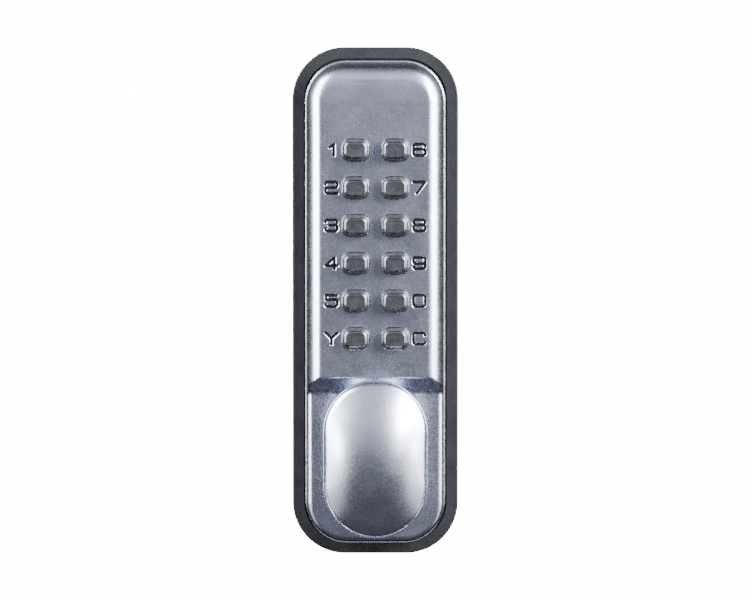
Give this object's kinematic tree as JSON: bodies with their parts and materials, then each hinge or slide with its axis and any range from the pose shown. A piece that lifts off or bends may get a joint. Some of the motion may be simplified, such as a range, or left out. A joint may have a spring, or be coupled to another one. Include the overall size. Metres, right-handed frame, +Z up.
{
  "type": "push-button door lock",
  "caption": "Mechanical push-button door lock, outside unit: satin cover on a rubber gasket, two columns of sprung buttons, oval turn knob and square spindle.",
  "frame": {"origin": "on the axis of the turn knob and the square spindle, in the plane of the door face (the gasket's back)", "axes": "+Z up along the plate, -Y out of the door towards the user, +Y into the door, +X to the user's right"},
  "size_m": [0.049, 0.0786, 0.15],
  "materials": {
    "satin_chrome": "satin chrome-plated die casting, fine brushed grain",
    "button_metal": "darkened nickel plate, satin",
    "rubber_gasket": "moulded black neoprene, matt",
    "zinc_steel": "zinc and yellow passivated pressed steel",
    "turned_steel": "turned steel, satin",
    "screw_steel": "zinc-plated screw steel",
    "spring_steel": "bright spring wire",
    "cast_brass": "machined brass",
    "sheet_brass": "pressed brass sheet",
    "nylon_washer": "natural nylon"
  },
  "bodies": {
    "housing": {"gasket": "rubber_gasket", "cover": "satin_chrome", "back_plate": "zinc_steel", "back_plate_screws": "screw_steel", "fixing_post_upper": "turned_steel", "fixing_post_lower": "turned_steel", "chamber": "cast_brass", "chamber_plate": "sheet_brass", "chamber_screws": "screw_steel", "knob_bush": "cast_brass", "return_spring": "spring_steel", "clear_spring": "spring_steel", "button_spring_1": "spring_steel", "button_spring_2": "spring_steel", "button_spring_3": "spring_steel", "button_spring_4": "spring_steel", "button_spring_5": "spring_steel", "button_spring_y": "spring_steel", "button_spring_6": "spring_steel", "button_spring_7": "spring_steel", "button_spring_8": "spring_steel", "button_spring_9": "spring_steel", "button_spring_0": "spring_steel", "button_spring_c": "spring_steel"},
    "knob": {"knob": "satin_chrome", "knob_shaft": "turned_steel", "knob_pin": "screw_steel", "knob_washer": "nylon_washer", "circlip": "spring_steel", "drive_disc": "zinc_steel", "drive_pin": "screw_steel", "spindle_hub": "turned_steel", "spindle": "zinc_steel"},
    "code_slide": {"code_slide": "sheet_brass"},
    "clear_slide": {"clear_slide": "sheet_brass"},
    "button_1": {"button_1": "button_metal", "tumbler_1": "sheet_brass"},
    "button_2": {"button_2": "button_metal", "tumbler_2": "sheet_brass"},
    "button_3": {"button_3": "button_metal", "tumbler_3": "sheet_brass"},
    "button_4": {"button_4": "button_metal", "tumbler_4": "sheet_brass"},
    "button_5": {"button_5": "button_metal", "tumbler_5": "sheet_brass"},
    "button_y": {"button_y": "button_metal", "tumbler_y": "sheet_brass"},
    "button_6": {"button_6": "button_metal", "tumbler_6": "sheet_brass"},
    "button_7": {"button_7": "button_metal", "tumbler_7": "sheet_brass"},
    "button_8": {"button_8": "button_metal", "tumbler_8": "sheet_brass"},
    "button_9": {"button_9": "button_metal", "tumbler_9": "sheet_brass"},
    "button_0": {"button_0": "button_metal", "tumbler_0": "sheet_brass"},
    "button_c": {"button_c": "button_metal", "tumbler_c": "sheet_brass"}
  },
  "joints": [
    {"name": "knob_turn", "type": "hinge", "parent": "housing", "child": "knob", "pos_m": [0, 0, 0], "axis": [0, 1, 0], "range_deg": [-45, 45], "stiffness_Nm_per_rad": 0.15, "deforming": ["return_spring"]},
    {"name": "code_slide_travel", "type": "slide", "parent": "housing", "child": "code_slide", "axis": [0, 0, 1], "range_m": [-0.006, 0.006]},
    {"name": "clear_slide_travel", "type": "slide", "parent": "housing", "child": "clear_slide", "axis": [-1, 0, 0], "range_m": [0, 0.0016], "deforming": ["clear_spring"]},
    {"name": "button_1_press", "type": "slide", "parent": "housing", "child": "button_1", "axis": [0, 1, 0], "range_m": [0, 0.0025], "stiffness_N_per_m": 300, "deforming": ["button_spring_1"]},
    {"name": "button_2_press", "type": "slide", "parent": "housing", "child": "button_2", "axis": [0, 1, 0], "range_m": [0, 0.0025], "stiffness_N_per_m": 300, "deforming": ["button_spring_2"]},
    {"name": "button_3_press", "type": "slide", "parent": "housing", "child": "button_3", "axis": [0, 1, 0], "range_m": [0, 0.0025], "stiffness_N_per_m": 300, "deforming": ["button_spring_3"]},
    {"name": "button_4_press", "type": "slide", "parent": "housing", "child": "button_4", "axis": [0, 1, 0], "range_m": [0, 0.0025], "stiffness_N_per_m": 300, "deforming": ["button_spring_4"]},
    {"name": "button_5_press", "type": "slide", "parent": "housing", "child": "button_5", "axis": [0, 1, 0], "range_m": [0, 0.0025], "stiffness_N_per_m": 300, "deforming": ["button_spring_5"]},
    {"name": "button_y_press", "type": "slide", "parent": "housing", "child": "button_y", "axis": [0, 1, 0], "range_m": [0, 0.0025], "stiffness_N_per_m": 300, "deforming": ["button_spring_y"]},
    {"name": "button_6_press", "type": "slide", "parent": "housing", "child": "button_6", "axis": [0, 1, 0], "range_m": [0, 0.0025], "stiffness_N_per_m": 300, "deforming": ["button_spring_6"]},
    {"name": "button_7_press", "type": "slide", "parent": "housing", "child": "button_7", "axis": [0, 1, 0], "range_m": [0, 0.0025], "stiffness_N_per_m": 300, "deforming": ["button_spring_7"]},
    {"name": "button_8_press", "type": "slide", "parent": "housing", "child": "button_8", "axis": [0, 1, 0], "range_m": [0, 0.0025], "stiffness_N_per_m": 300, "deforming": ["button_spring_8"]},
    {"name": "button_9_press", "type": "slide", "parent": "housing", "child": "button_9", "axis": [0, 1, 0], "range_m": [0, 0.0025], "stiffness_N_per_m": 300, "deforming": ["button_spring_9"]},
    {"name": "button_0_press", "type": "slide", "parent": "housing", "child": "button_0", "axis": [0, 1, 0], "range_m": [0, 0.0025], "stiffness_N_per_m": 300, "deforming": ["button_spring_0"]},
    {"name": "button_c_press", "type": "slide", "parent": "housing", "child": "button_c", "axis": [0, 1, 0], "range_m": [0, 0.0025], "stiffness_N_per_m": 300, "deforming": ["button_spring_c"]}
  ],
  "couplings": [
    {"joint": "code_slide_travel", "follows": "knob_turn", "m_per_rad": -0.0074},
    {"joint": "clear_slide_travel", "follows": "button_c_press", "ratio": 0.6}
  ]
}
